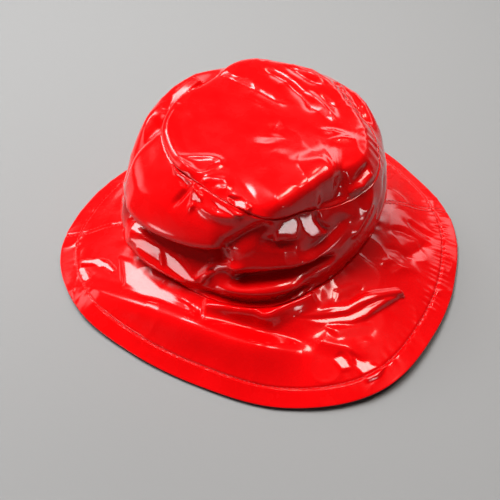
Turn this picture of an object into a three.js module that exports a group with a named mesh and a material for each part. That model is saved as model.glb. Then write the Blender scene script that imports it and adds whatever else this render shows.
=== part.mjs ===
// Rain hat: a bucket-shaped hat of glossy coated cloth, lying on its brim.
// Millimetres, Z up. The hat is worked out about the axis of its crown, and at the
// end it is moved so that the middle of its footprint is the origin.
import * as THREE from 'three';

// Cloth, seams and the fineness of the sections
const CROWN_CLOTH = 1.2;
const BRIM_CLOTH = 2.0;
const SEAM_GAP = 0.3;
const WIDEST_MITRE = 1.8;
const SECTION_STEP = 4;
const SLOPE_STEP = 0.01;
const LEFT_BRIM_SEAM = 172;
const RIGHT_BRIM_SEAM = 4;
const FLAT_HEM = 5;
const RESTS_BELOW = 0.5;

// Middle of the tip, measured from the axis of the crown
const TIP_MIDDLE = new THREE.Vector3(8, 4, 107);
const TIP_HALF_WAY = 0.55;
const TIP_HALF_RISE = 0.35;

// The wall is laid out flat for its folds: arc along this radius, and drop from the tip seam
const WALL_RADIUS = 90;
const WALL_DROP = 85;
const REACH = { tip: 75, wall: WALL_DROP, brim: 68 };

const HAT_RED = new THREE.MeshStandardMaterial({ color: 0xd8090b, roughness: 0.18, metalness: 0 });

// Rows of numbers with named columns
function table(columns, rows) {
  return rows.map((row) => Object.fromEntries(columns.map((name, i) => [name, row[i]])));
}

// Sections of the crown every 22.5 degrees, counted from the right side towards the back.
// R is the distance from the axis, Z the height, of the tip's folded rim, the tip seam,
// the upper and lower swell of the wall, and the seam with the brim.
const CROWN_SECTIONS = table(
  ['rimR', 'rimZ', 'seamR', 'seamZ', 'upperR', 'upperZ', 'lowerR', 'lowerZ', 'baseR', 'baseZ'],
  [
    [76, 105, 87, 95, 96, 80, 101, 50, 100, 25],
    [74, 109, 82, 104, 98, 96, 102, 58, 100, 24],
    [79, 114, 88, 108, 99, 98, 99, 58, 95, 24],
    [79, 116, 88, 109, 98, 97, 96, 58, 91, 25],
    [80, 116, 89, 109, 98, 96, 96, 58, 90, 25],
    [67, 111, 75, 107, 97, 100, 98, 58, 91, 24],
    [65, 109, 73, 105, 93, 96, 99, 56, 94, 23],
    [62, 106, 69, 102, 89, 93, 101, 52, 100, 20],
    [57, 103, 64, 98, 90, 83, 102, 48, 103, 18],
    [52, 102, 60, 98, 82, 80, 97, 46, 93, 24],
    [50, 102, 58, 98, 76, 78, 87, 46, 90, 29],
    [56, 101, 64, 97, 74, 78, 82, 48, 93, 31],
    [64, 99, 71, 92, 74, 76, 82, 50, 94, 31],
    [60, 101, 66, 87, 74, 70, 84, 48, 87, 31],
    [62, 103, 74, 83, 82, 70, 88, 48, 85, 30],
    [74, 103, 87, 87, 93, 72, 94, 48, 89, 28],
  ],
);

// Sections of the brim at the same angles: its soft inner bend, its middle and its edge
const BRIM_SECTIONS = table(
  ['bendR', 'bendZ', 'middleR', 'middleZ', 'edgeR', 'edgeZ'],
  [
    [118, 20, 142, 9, 163, 2],
    [117, 20, 140, 10, 160, 2],
    [115, 20, 140, 10, 162, 2],
    [109, 20, 130, 10, 151, 2],
    [106, 20, 126, 10, 144, 2],
    [106, 19, 125, 9, 141, 2],
    [109, 18, 128, 8, 142, 2],
    [115, 15, 133, 6, 148, 2],
    [119, 14, 139, 6, 155, 2],
    [111, 18, 132, 8, 149, 2],
    [108, 21, 126, 10, 141, 2],
    [109, 22, 126, 11, 143, 2],
    [112, 23, 136, 12, 156, 3],
    [108, 24, 139, 14, 165, 5],
    [105, 24, 135, 13, 159, 5],
    [107, 23, 135, 12, 158, 3],
  ],
);

// Folds. The path of one on the tip or the brim is in plan, as x and y from the crown's axis.
// On the wall it is the angle and the drop from the tip seam. Height is outwards, so a dent
// has less than none, and the widths are on the left and the right of the path.
const FOLDS = table(
  ['panel', 'path', 'height', 'leftWidth', 'rightWidth', 'crest'],
  [
    ['tip', [[-4, -67], [10, -61], [24, -53], [37, -46], [52, -43]], 4, 26, 12, 'round'],
    ['tip', [[-57, -14], [-40, -17], [-28, -22]], 3, 11, 11, 'round'],
    ['tip', [[-42, -32], [-31, -38], [-24, -46]], 3, 12, 12, 'round'],
    ['tip', [[-22, 66], [-5, 62], [12, 48], [32, 31]], -2.5, 9, 12, 'sharp'],
    ['tip', [[14, 70], [29, 58], [39, 39], [50, 22]], -3, 9, 12, 'sharp'],
    ['tip', [[54, 32], [60, 15], [55, 0]], -3, 10, 10, 'sharp'],
    ['tip', [[3, 3], [11, -4]], -3, 13, 13, 'round'],
    ['wall', [[150, 1], [161, 14], [169, 30], [174, 44]], -7, 15, 15, 'round'],
    ['wall', [[186, 37], [200, 37], [214, 36], [230, 34], [246, 30]], 4, 22, 9, 'round'],
    ['wall', [[184, 45], [204, 46], [228, 44], [246, 40]], -7, 9, 20, 'round'],
    ['wall', [[188, 67], [204, 68], [220, 70], [234, 74]], 3, 14, 10, 'round'],
    ['wall', [[234, 74], [238, 62], [246, 50]], 3, 9, 9, 'round'],
    ['wall', [[250, 60], [268, 58], [282, 56], [303, 50]], -6, 10, 11, 'round'],
    ['wall', [[246, 70], [258, 71], [272, 71], [286, 68]], 3, 10, 9, 'round'],
    ['wall', [[244, 34], [257, 19], [270, 8]], -4, 10, 12, 'round'],
    ['wall', [[279, 20], [292, 15], [306, 13]], 3, 10, 10, 'round'],
    ['brim', [[-136, -32], [-111, -54], [-67, -85], [-23, -111], [20, -124]], 6, 12, 30, 'sharp'],
    ['brim', [[-97, -32], [-78, -60], [-48, -81], [-8, -99]], -3, 14, 12, 'round'],
    ['brim', [[12, -112], [34, -119], [47, -128], [52, -146]], 4, 12, 12, 'sharp'],
    ['brim', [[36, -108], [58, -114], [66, -128]], 3, 10, 10, 'round'],
    ['brim', [[-144, -12], [-126, -13], [-116, -22]], 3, 10, 10, 'round'],
    ['brim', [[16, -104], [45, -104], [72, -93], [97, -84]], -3, 10, 12, 'round'],
  ],
);
const PATH_STEPS = 24;
const FOLD_END = 14;
const LEFT_AT_FOLD_END = 0.35;
const CALM_AT_SEAMS = 8;

// Where the rings of each panel lie, as shares of the way across it
const TIP_RINGS = [0, 0.16, 0.31, 0.46, 0.59, 0.72, 0.85, 0.93, 1];
const WALL_RINGS = [0, 0.08, 0.19, 0.31, 0.43, 0.54, 0.65, 0.77, 0.89, 1];
const BRIM_RINGS = [0, 0.12, 0.27, 0.42, 0.57, 0.71, 0.84];

// One column of a table at any angle, on a smooth closed curve through its rows
function aroundTable(rows, column, angle) {
  const place = (((angle % 360) + 360) % 360) / 360 * rows.length;
  const row = Math.floor(place);
  const part = place - row;
  const value = (k) => rows[(row + k + rows.length) % rows.length][column];
  const [before, here, next, after] = [value(-1), value(0), value(1), value(2)];
  const bend = 2 * before - 5 * here + 4 * next - after;
  const twist = 3 * (here - next) + after - before;
  return here + 0.5 * part * (next - before + part * (bend + part * twist));
}

function pointOn(rows, name, angle) {
  const radius = aroundTable(rows, `${name}R`, angle);
  const turn = THREE.MathUtils.degToRad(angle);
  const height = aroundTable(rows, `${name}Z`, angle);
  return new THREE.Vector3(radius * Math.cos(turn), radius * Math.sin(turn), height);
}

// The stations that the profile of each panel runs through at an angle
function stations(panel, angle) {
  if (panel === 'tip') {
    const rim = pointOn(CROWN_SECTIONS, 'rim', angle);
    const halfWay = TIP_MIDDLE.clone().lerp(rim, TIP_HALF_WAY);
    halfWay.z = THREE.MathUtils.lerp(TIP_MIDDLE.z, rim.z, TIP_HALF_RISE);
    return [TIP_MIDDLE, halfWay, rim, pointOn(CROWN_SECTIONS, 'seam', angle)];
  }
  if (panel === 'wall') {
    return ['seam', 'upper', 'lower', 'base'].map((name) => pointOn(CROWN_SECTIONS, name, angle));
  }
  const brim = ['bend', 'middle', 'edge'].map((name) => pointOn(BRIM_SECTIONS, name, angle));
  return [pointOn(CROWN_SECTIONS, 'base', angle), ...brim];
}

// A smooth curve through the stations, at the same share of the way for every angle
const knots = Object.fromEntries(['tip', 'wall', 'brim'].map((panel) => [panel, meanKnots(panel)]));

function meanKnots(panel) {
  const lengths = [];
  for (let angle = 0; angle < 360; angle += SECTION_STEP) {
    const points = stations(panel, angle);
    for (let i = 1; i < points.length; i += 1) {
      lengths[i - 1] = (lengths[i - 1] ?? 0) + points[i].distanceTo(points[i - 1]);
    }
  }
  const total = lengths.reduce((sum, length) => sum + length, 0);
  let run = 0;
  return [0, ...lengths.map((length) => (run += length) / total)];
}

function alongProfile(panel, angle, share) {
  const points = stations(panel, angle);
  const marks = knots[panel];
  const last = points.length - 1;
  let i = 0;
  while (i < last - 1 && share > marks[i + 1]) i += 1;
  const slope = (k) => {
    const low = Math.max(k - 1, 0);
    const high = Math.min(k + 1, last);
    return points[high].clone().sub(points[low]).divideScalar(marks[high] - marks[low]);
  };
  const width = marks[i + 1] - marks[i];
  const t = (share - marks[i]) / width;
  const point = points[i].clone().multiplyScalar(2 * t ** 3 - 3 * t ** 2 + 1);
  point.addScaledVector(slope(i), (t ** 3 - 2 * t ** 2 + t) * width);
  point.addScaledVector(points[i + 1], 3 * t ** 2 - 2 * t ** 3);
  return point.addScaledVector(slope(i + 1), (t ** 3 - t ** 2) * width);
}

// How far the folds lift a place on a panel, in the panel's flat layout
const foldPaths = FOLDS.map((fold) => {
  const layout = fold.panel === 'wall' ? wallLayout : planLayout;
  const flat = fold.path.map(([first, second]) => layout(first, second));
  return new THREE.SplineCurve(flat).getSpacedPoints(PATH_STEPS);
});

function planLayout(x, y) {
  return new THREE.Vector2(x, y);
}

function wallLayout(angle, drop) {
  return new THREE.Vector2(THREE.MathUtils.degToRad(angle) * WALL_RADIUS, -drop);
}

function foldLift(fold, path, place) {
  let nearest = Infinity;
  let side = 1;
  let start = 0;
  for (let i = 0; i < PATH_STEPS; i += 1) {
    const step = path[i + 1].clone().sub(path[i]);
    const offset = place.clone().sub(path[i]);
    const along = THREE.MathUtils.clamp(offset.dot(step) / step.lengthSq(), 0, 1);
    const distance = offset.distanceTo(step.clone().multiplyScalar(along));
    if (distance < nearest) {
      nearest = distance;
      side = step.cross(offset);
      start = (i + along) / PATH_STEPS;
    }
  }
  const width = side > 0 ? fold.leftWidth : fold.rightWidth;
  const out = Math.min(nearest / width, 1);
  const shape = fold.crest === 'sharp' ? (1 - out) ** 2 : (1 - out) ** 2 * (1 + 2 * out);
  const length = path[0].distanceTo(path[PATH_STEPS]);
  const fade = Math.min(start, 1 - start) * length / FOLD_END;
  return fold.height * shape * THREE.MathUtils.smoothstep(fade + LEFT_AT_FOLD_END, 0, 1);
}

function lift(panel, angle, share, point) {
  const onWall = panel === 'wall';
  const place = onWall ? wallLayout(angle, share * WALL_DROP) : planLayout(point.x, point.y);
  const nearest = panel === 'tip' ? 1 - share : Math.min(share, 1 - share);
  const toSeam = nearest * REACH[panel];
  const calm = THREE.MathUtils.smoothstep(toSeam, 0, CALM_AT_SEAMS);
  let sum = 0;
  FOLDS.forEach((fold, i) => {
    if (fold.panel === panel) sum += foldLift(fold, foldPaths[i], place);
  });
  return sum * calm;
}

// Grids of points, one row for each ring and one column for each section
function angles(from, to) {
  const list = [];
  for (let angle = from; angle <= to; angle += SECTION_STEP) list.push(angle);
  return list;
}

function outerGrid(panel, shares, columns) {
  return shares.map((share) => columns.map((angle) => {
    const point = alongProfile(panel, angle, share);
    const lower = Math.max(share - SLOPE_STEP, 0);
    const upper = Math.min(share + SLOPE_STEP, 1);
    const down = alongProfile(panel, angle, upper).sub(alongProfile(panel, angle, lower));
    const off = Math.max(share, SLOPE_STEP);
    const around = alongProfile(panel, angle + 1, off).sub(alongProfile(panel, angle - 1, off));
    const outwards = down.cross(around).normalize();
    return point.addScaledVector(outwards, lift(panel, angle, share, point));
  }));
}

// The brim's hem lies level along its edge, so its rings end with one short of the edge
function brimGrid(columns) {
  const rings = outerGrid('brim', BRIM_RINGS, columns);
  const edge = columns.map((angle) => pointOn(BRIM_SECTIONS, 'edge', angle));
  const hem = edge.map((point) => {
    const inwards = new THREE.Vector3(-point.x, -point.y, 0).setLength(FLAT_HEM);
    return point.clone().add(inwards);
  });
  return [...rings, hem, edge];
}

function gridNormals(grid, closed) {
  const rows = grid.length;
  const columns = grid[0].length;
  return grid.map((row, i) => row.map((point, j) => {
    const before = closed ? (j - 1 + columns) % columns : Math.max(j - 1, 0);
    const after = closed ? (j + 1) % columns : Math.min(j + 1, columns - 1);
    const down = grid[Math.min(i + 1, rows - 1)][j].clone().sub(grid[Math.max(i - 1, 0)][j]);
    const around = row[after].clone().sub(row[before]);
    if (around.lengthSq() === 0) return new THREE.Vector3(0, 0, 1);
    return down.cross(around).normalize();
  }));
}

function innerGrid(grid, normals, thickness) {
  return grid.map((row, i) => row.map((point, j) => {
    return point.clone().addScaledVector(normals[i][j], -thickness);
  }));
}

// At a seam both panels are cut on the plane that halves their corner
function mitreSeam(first, second, thickness) {
  const firstLast = first.outer.length - 1;
  first.outer[firstLast].forEach((point, j) => {
    const firstNormal = first.normals[firstLast][j];
    const secondNormal = second.normals[0][j];
    const middle = firstNormal.clone().add(secondNormal).normalize();
    const stretch = Math.min(1 / middle.dot(firstNormal), WIDEST_MITRE);
    const inner = point.clone().addScaledVector(middle, -thickness * stretch);
    const backFirst = first.outer[firstLast - 1][j].clone().sub(point).normalize();
    const backSecond = second.outer[1][j].clone().sub(second.outer[0][j]).normalize();
    const half = backFirst.angleTo(backSecond) / 2;
    const trim = SEAM_GAP / 2 / Math.max(Math.sin(half), SEAM_GAP);
    first.inner[firstLast][j] = inner.clone().addScaledVector(backFirst, trim);
    second.inner[0][j] = inner.clone().addScaledVector(backSecond, trim);
    second.outer[0][j] = point.clone().addScaledVector(backSecond, trim);
    first.outer[firstLast][j] = point.clone().addScaledVector(backFirst, trim);
  });
}

// The two halves of the brim are cut along their radial seams
function cutBrim(grid, from, to) {
  const first = from / SECTION_STEP;
  const count = (to - from) / SECTION_STEP + 1;
  return grid.map((row) => {
    const part = Array.from({ length: count }, (_, k) => row[(first + k) % row.length].clone());
    [[0, from, 1], [count - 1, to, -1]].forEach(([k, angle, way]) => {
      const turn = THREE.MathUtils.degToRad(angle);
      const across = new THREE.Vector3(-Math.sin(turn), Math.cos(turn), 0);
      part[k].addScaledVector(across, way * SEAM_GAP / 2);
    });
    return part;
  });
}

// Closed skins from an outer and an inner grid
class Skin {
  constructor() {
    this.points = [];
    this.faces = [];
  }

  addGrid(grid) {
    return grid.map((row) => row.map((point) => this.points.push(point) - 1));
  }

  addQuad(a, b, c, d) {
    const span = (from, to) => this.points[from].distanceTo(this.points[to]);
    if (span(a, c) < span(b, d)) this.faces.push([a, b, c], [a, c, d]);
    else this.faces.push([a, b, d], [b, c, d]);
  }

  addSheet(rows, closed, inwards) {
    for (let i = 0; i + 1 < rows.length; i += 1) {
      const columns = rows[i].length;
      for (let j = 0; j < (closed ? columns : columns - 1); j += 1) {
        const k = (j + 1) % columns;
        if (inwards) this.addQuad(rows[i][j], rows[i][k], rows[i + 1][k], rows[i + 1][j]);
        else this.addQuad(rows[i][j], rows[i + 1][j], rows[i + 1][k], rows[i][k]);
      }
    }
  }

  addRim(outer, inner, closed) {
    const count = closed ? outer.length : outer.length - 1;
    for (let j = 0; j < count; j += 1) {
      const k = (j + 1) % outer.length;
      this.addQuad(outer[j], inner[j], inner[k], outer[k]);
    }
  }

  geometry() {
    const geometry = new THREE.BufferGeometry();
    const coordinates = this.points.flatMap((point) => point.toArray());
    geometry.setAttribute('position', new THREE.Float32BufferAttribute(coordinates, 3));
    geometry.setIndex(this.faces.flat());
    geometry.computeVertexNormals();
    return geometry;
  }
}

function bandGeometry(panel) {
  const skin = new Skin();
  const outer = skin.addGrid(panel.outer);
  const inner = skin.addGrid(panel.inner);
  skin.addSheet(outer, true, false);
  skin.addSheet(inner, true, true);
  skin.addRim(outer.at(-1), inner.at(-1), true);
  skin.addRim(inner[0], outer[0], true);
  return skin.geometry();
}

function tipGeometry(panel) {
  const skin = new Skin();
  const sheets = [panel.outer, panel.inner].map((grid) => skin.addGrid(grid.slice(1)));
  const [outer, inner] = sheets;
  skin.addSheet(outer, true, false);
  skin.addSheet(inner, true, true);
  skin.addRim(outer.at(-1), inner.at(-1), true);
  const tops = [panel.outer, panel.inner].map((grid) => skin.points.push(grid[0][0]) - 1);
  outer[0].forEach((here, j) => {
    const k = (j + 1) % outer[0].length;
    skin.faces.push([tops[0], here, outer[0][k]], [tops[1], inner[0][k], inner[0][j]]);
  });
  return skin.geometry();
}

function brimGeometry(panel, from, to) {
  const skin = new Skin();
  const outer = skin.addGrid(cutBrim(panel.outer, from, to));
  const inner = skin.addGrid(cutBrim(panel.inner, from, to));
  skin.addSheet(outer, false, false);
  skin.addSheet(inner, false, true);
  skin.addRim(outer.at(-1), inner.at(-1), false);
  skin.addRim(inner[0], outer[0], false);
  skin.addRim(outer.map((row) => row[0]), inner.map((row) => row[0]), false);
  skin.addRim(inner.map((row) => row.at(-1)), outer.map((row) => row.at(-1)), false);
  return skin.geometry();
}

// The three panels, sewn together at the tip seam and at the base of the crown
function makePanel(outer, thickness) {
  const normals = gridNormals(outer, true);
  return { outer, normals, inner: innerGrid(outer, normals, thickness) };
}

function layOnTable(grid) {
  grid.forEach((row) => row.forEach((point) => {
    if (point.z < RESTS_BELOW) point.z = 0;
  }));
}

const allAround = angles(0, 360 - SECTION_STEP);
const tip = makePanel(outerGrid('tip', TIP_RINGS, allAround), CROWN_CLOTH);
const wall = makePanel(outerGrid('wall', WALL_RINGS, allAround), CROWN_CLOTH);
const brim = makePanel(brimGrid(allAround), BRIM_CLOTH);
layOnTable(brim.inner);
mitreSeam(tip, wall, CROWN_CLOTH);
mitreSeam(wall, brim, CROWN_CLOTH);

const hat = new THREE.Group();
function addPart(name, geometry) {
  const mesh = new THREE.Mesh(geometry, HAT_RED);
  mesh.name = name;
  hat.add(mesh);
}
addPart('crown_tip', tipGeometry(tip));
addPart('crown_side', bandGeometry(wall));
addPart('brim_front', brimGeometry(brim, LEFT_BRIM_SEAM, 360 + RIGHT_BRIM_SEAM));
addPart('brim_back', brimGeometry(brim, RIGHT_BRIM_SEAM, LEFT_BRIM_SEAM));

// The middle of the footprint, on the surface that the hat lies on, is the origin
const footprint = new THREE.Box3().setFromObject(hat);
const middle = footprint.getCenter(new THREE.Vector3());
hat.position.set(-middle.x, -middle.y, -footprint.min.z);

export default hat;
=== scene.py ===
"""Rain hat of red coated cloth, lying on its brim under plain studio light.

Lengths are in millimetres until a mesh is made of them. Angles are in degrees and run
from the hat's right side towards its back. The hat is worked out about the axis of its
crown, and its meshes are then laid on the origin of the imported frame.
"""

import logging
import math
from dataclasses import dataclass
from enum import Enum

import bpy
import numpy as np
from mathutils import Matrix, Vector


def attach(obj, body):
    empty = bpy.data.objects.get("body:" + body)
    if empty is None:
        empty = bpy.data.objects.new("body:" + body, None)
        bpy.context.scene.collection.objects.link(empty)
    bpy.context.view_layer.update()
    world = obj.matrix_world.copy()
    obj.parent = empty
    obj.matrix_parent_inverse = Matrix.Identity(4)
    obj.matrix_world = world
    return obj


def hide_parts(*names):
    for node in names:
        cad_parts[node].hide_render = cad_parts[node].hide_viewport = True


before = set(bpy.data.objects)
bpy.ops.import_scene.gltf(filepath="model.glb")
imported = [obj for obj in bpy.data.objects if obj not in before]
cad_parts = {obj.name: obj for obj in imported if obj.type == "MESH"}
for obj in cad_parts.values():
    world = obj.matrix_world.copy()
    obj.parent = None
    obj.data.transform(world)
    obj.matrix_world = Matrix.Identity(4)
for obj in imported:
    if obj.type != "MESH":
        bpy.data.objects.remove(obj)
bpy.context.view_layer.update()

# Units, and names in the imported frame
MM = 0.001
METRE = 1000
TINY = 1e-9
BODY = "root"

# The angles of the brim's radial seams, and the thickness of the cloth
LEFT_SEAM = 172
RIGHT_SEAM = 4
CROWN_CLOTH = 1.2
BRIM_CLOTH = 2.0

# A panel's two materials, by their place in its list
COATED = 0
BACKED = 1

# How finely steps are sampled before they are graded, and the height that the lamps look at
GRADING_SAMPLES = 4001
TARGET_HEIGHT = 40

log = logging.getLogger("rain_hat")


class Panel(Enum):
    """The panels of cloth that the hat is sewn from."""

    TIP = "tip"
    WALL = "wall"
    BRIM = "brim"


class SewnLine(Enum):
    """The lines of sewing that pucker the cloth, as their radius in millimetres."""

    TIP = 80
    BASE = 95
    HEM = 145


class Crest(Enum):
    """How a fold's highest line is rounded, as a radius in millimetres."""

    KEEN = 0.5
    SHARP = 1.2
    SOFT = 4.0
    ROUND = 6.0


class Lamp(Enum):
    """The lamps, or the dark part of the room, that a facet can mirror into the camera."""

    WINDOW = "window"
    LOW_SIDE = "low_side"
    OVERHEAD = "overhead"
    LOW_RIGHT = "low_right"
    SHADE = "shade"


def smooth_step(values: np.ndarray) -> np.ndarray:
    """Zero below 0, one above 1, and an even bend between them."""
    part = np.clip(values, 0, 1)
    return part * part * (3 - 2 * part)


def unit(vectors: np.ndarray) -> np.ndarray:
    """The same directions, of length one."""
    return vectors / np.maximum(np.linalg.norm(vectors, axis=-1, keepdims=True), TINY)


def curve_part(four: tuple, part: np.ndarray) -> np.ndarray:
    """Points between the middle two of four neighbours, on a smooth curve through them.

    Args:
        four: The neighbours, in order.
        part: The share of the way from the second to the third.

    Returns:
        The points on the curve.
    """
    before, here, after, beyond = four
    bend = 2 * before - 5 * here + 4 * after - beyond
    twist = 3 * (here - after) + beyond - before
    return here + 0.5 * part * (after - before + part * (bend + part * twist))


@dataclass(frozen=True)
class Sections:
    """Sections of one part of the hat, evenly spaced round the crown's axis."""

    columns: tuple
    rows: tuple

    def around(self, name: str, angles: np.ndarray) -> np.ndarray:
        """One column at any angle, on a smooth closed curve through the rows.

        Args:
            name: The column.
            angles: Angles in degrees, of any shape.

        Returns:
            The column's values, in the shape of the angles.
        """
        column = np.array([row[self.columns.index(name)] for row in self.rows], float)
        place = np.mod(angles, 360) / 360 * len(column)
        row = np.floor(place).astype(int)
        four = (column[(row + step) % len(column)] for step in (-1, 0, 1, 2))
        return curve_part(four, place - row)

    def point(self, name: str, angles: np.ndarray) -> np.ndarray:
        """The points of a named ring.

        Args:
            name: The ring, whose columns end in R for its radius and Z for its height.
            angles: Angles in degrees, of any shape.

        Returns:
            A point for each angle, with its coordinates along a last axis.
        """
        radius = self.around(name + "R", angles)
        turn = np.radians(angles)
        height = self.around(name + "Z", angles)
        return np.stack([radius * np.cos(turn), radius * np.sin(turn), height], -1)


CROWN_SECTIONS = Sections(
    ("rimR", "rimZ", "seamR", "seamZ", "upperR", "upperZ", "lowerR", "lowerZ", "baseR", "baseZ"),
    (
        (76, 105, 87, 95, 96, 80, 101, 50, 100, 25),
        (74, 109, 82, 104, 98, 96, 102, 58, 100, 24),
        (79, 114, 88, 108, 99, 98, 99, 58, 95, 24),
        (79, 116, 88, 109, 98, 97, 96, 58, 91, 25),
        (80, 116, 89, 109, 98, 96, 96, 58, 90, 25),
        (67, 111, 75, 107, 97, 100, 98, 58, 91, 24),
        (68, 109, 73, 105, 93, 96, 99, 56, 94, 23),
        (66, 105, 69, 103, 89, 93, 101, 52, 100, 20),
        (61, 102, 64, 100, 90, 83, 102, 48, 103, 18),
        (57, 101, 60, 99, 82, 80, 97, 46, 93, 24),
        (50, 102, 58, 98, 76, 78, 87, 46, 90, 29),
        (56, 101, 64, 97, 74, 78, 82, 48, 93, 31),
        (64, 99, 71, 92, 74, 76, 82, 50, 94, 31),
        (60, 101, 66, 87, 74, 70, 84, 48, 87, 31),
        (62, 103, 74, 83, 82, 70, 88, 48, 85, 30),
        (74, 103, 87, 87, 93, 72, 94, 48, 89, 28),
    ),
)

BRIM_SECTIONS = Sections(
    ("bendR", "bendZ", "middleR", "middleZ", "edgeR", "edgeZ"),
    (
        (118, 20, 142, 9, 163, 2),
        (117, 20, 140, 10, 160, 2),
        (115, 20, 140, 10, 162, 2),
        (109, 20, 130, 10, 151, 2),
        (106, 20, 126, 10, 144, 2),
        (106, 19, 125, 9, 141, 2),
        (109, 18, 128, 8, 142, 2),
        (115, 15, 133, 6, 148, 2),
        (119, 14, 139, 6, 155, 2),
        (111, 18, 132, 8, 149, 2),
        (108, 21, 126, 10, 141, 2),
        (109, 22, 126, 11, 143, 2),
        (112, 23, 136, 12, 156, 3),
        (108, 24, 139, 14, 165, 5),
        (105, 24, 135, 13, 159, 5),
        (107, 23, 135, 12, 158, 3),
    ),
)


@dataclass(frozen=True)
class Fold:
    """A fold along a path in a panel's flat layout, raised or, below none, pressed in.

    On the tip and the brim the path is in plan, from the crown's axis. On the wall it is
    the angle and the drop from the tip seam. Left and right are its widths on the two
    sides of the path, and end is how far its height fades out at its ends.
    """

    panel: Panel
    path: tuple
    height: float
    left: float
    right: float
    crest: Crest = Crest.SOFT
    end: float = 14.0


@dataclass(frozen=True)
class Facet:
    """A flat place in the cloth, turned until it mirrors a lamp into the camera.

    Its corners are in the panel's flat layout, as a fold's path is. Turned is how much of
    the way to the lamp it is turned. Above none, rise lifts its middle off the folds. Blend
    is the width over which its edge bends into the cloth round it.
    """

    panel: Panel
    corners: tuple
    faces: Lamp
    turned: float = 1.0
    rise: float = 0.0
    blend: float = 3.0


@dataclass(frozen=True)
class SmoothPlace:
    """A stretch of cloth that is pulled smooth, and how much of its small waves it keeps."""

    panel: Panel
    middle: tuple
    reach: float
    keep: float


@dataclass(frozen=True)
class Gathers:
    """Small puckers where a seam or hem pulls the cloth in, between two angles."""

    line: SewnLine
    start: float
    end: float
    height: float
    wave: float
    reach: float
    seed: int


def folds(panel: Panel, rows: tuple) -> tuple:
    """The folds of one panel, from rows of path, height, left, right, crest and end."""
    return tuple(Fold(panel, *row) for row in rows)


def facets(panel: Panel, rows: tuple) -> tuple:
    """The facets of one panel, from rows of corners, lamp, turned, rise and blend."""
    return tuple(Facet(panel, *row) for row in rows)


TIP_FOLDS = folds(Panel.TIP, (
    # The lip over the front of the side panel
    (((-4, -68), (10, -61), (24, -53), (37, -46), (45, -42), (52, -43)), 4.5, 42, 10),
    # Dimples beside the left of the seam
    (((-56, -12), (-47, -14), (-32, -18), (-27, -25), (-35, -30), (-44, -30), (-53, -20), (-56, -12)),
     1.1, 5, 4, Crest.SHARP),
    (((-43, -37), (-33, -38), (-27, -41), (-26, -47), (-34, -46)), 1.0, 5, 4, Crest.SHARP, 5),
    # Long creases from the back towards the right
    (((-24, 72), (-17, 67), (-4, 56), (7, 47), (21, 33), (32, 29)), -1.0, 5, 9, Crest.KEEN),
    (((-3, 42), (5, 35), (13, 26)), -0.7, 4, 7, Crest.KEEN),
    (((13, 69), (19, 64), (28, 55), (34, 45), (39, 37), (43, 26), (48, 19)), -2.2, 6, 10, Crest.KEEN),
    (((42, 42), (50, 30), (56, 16), (59, 6)), 2.2, 6, 6, Crest.SHARP),
    (((47, 39), (56, 29), (63, 20)), -1.8, 5, 5, Crest.KEEN),
    (((30, 70), (38, 63), (47, 52), (55, 45)), -1.8, 5, 7, Crest.KEEN),
    (((41, 66), (52, 55), (61, 47)), 1.6, 5, 6, Crest.SHARP),
    # The dent in the middle, and folds on its right
    (((5, -10), (7, -1), (13, 6), (21, 9)), -2.5, 13, 15),
    (((9, -16), (17, -31), (34, -37), (48, -36)), 1.2, 12, 12),
    (((47, -13), (59, -12), (70, -13)), 2, 8, 8, Crest.SHARP),
    (((44, 2), (53, -4), (64, -7)), 1.6, 6, 6, Crest.SHARP),
    (((-6, -36), (5, -37)), 0.4, 4, 4, Crest.KEEN, 6),
    # The raised rim on the left, and the hollow under the lip
    (((-51, 42), (-61, 22), (-60, 0), (-53, -19), (-43, -30)), 1.8, 9, 9, Crest.SHARP, 12),
    (((32, -58), (42, -54), (50, -48), (57, -41)), -3, 6, 7, Crest.SOFT, 10),
))

WALL_FOLDS = folds(Panel.WALL, (
    # The slump on the left, and the ledge across the front with the rolls beside it
    (((150, 1), (161, 14), (169, 30), (174, 44)), -8, 15, 15),
    (((184, 44), (196, 46), (204, 45), (214, 43), (228, 42), (240, 40), (250, 37)), -11, 6, 26, Crest.SHARP),
    (((186, 38), (200, 37), (214, 35), (230, 33), (246, 29)), 3, 25, 6),
    (((188, 67), (204, 68), (220, 71), (234, 75)), 4, 16, 10),
    # The curved fold at the ledge's end, and the rolls above the brim
    (((234, 74), (236, 64), (240, 54), (247, 48), (258, 49)), 4, 6, 9, Crest.SHARP),
    (((250, 61), (258, 60), (268, 58), (282, 56), (292, 53), (303, 49)), -8, 7, 10, Crest.SHARP),
    (((250, 45), (265, 47), (280, 46), (295, 42)), 3, 22, 8),
    (((244, 69), (256, 71), (270, 71), (286, 68)), 4, 10, 8),
    (((236, 80), (250, 81), (262, 81), (275, 80), (290, 78)), -5, 7, 5, Crest.SHARP),
    # Creases that run up to the tip seam
    (((244, 36), (250, 28), (257, 19), (266, 10), (272, 5)), -5, 10, 12, Crest.SHARP),
    (((262, 21), (272, 23), (284, 22)), -3, 9, 8),
    (((284, 40), (294, 33), (306, 22), (316, 12)), -3, 12, 10),
    # Pinches along the tip seam
    (((222, 1), (224, 8), (223, 15)), 2.5, 4, 6, Crest.SHARP, 8),
    (((216, 1), (215, 8), (213, 17)), -2.5, 4, 5, Crest.SHARP, 8),
    (((224, 5), (232, 9), (243, 9), (254, 5)), 2, 6, 6, Crest.SHARP, 8),
    (((299, 0), (298, 9), (304, 21)), -2, 4, 7, Crest.SHARP, 8),
    # Folds on the right
    (((331, 3), (324, 23), (313, 41)), 2, 9, 9, Crest.SHARP),
    (((346, 8), (340, 26), (332, 44)), -2, 9, 9, Crest.SHARP),
    (((398, 14), (385, 8), (370, 3)), -3, 6, 7, Crest.SHARP, 8),
))

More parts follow.
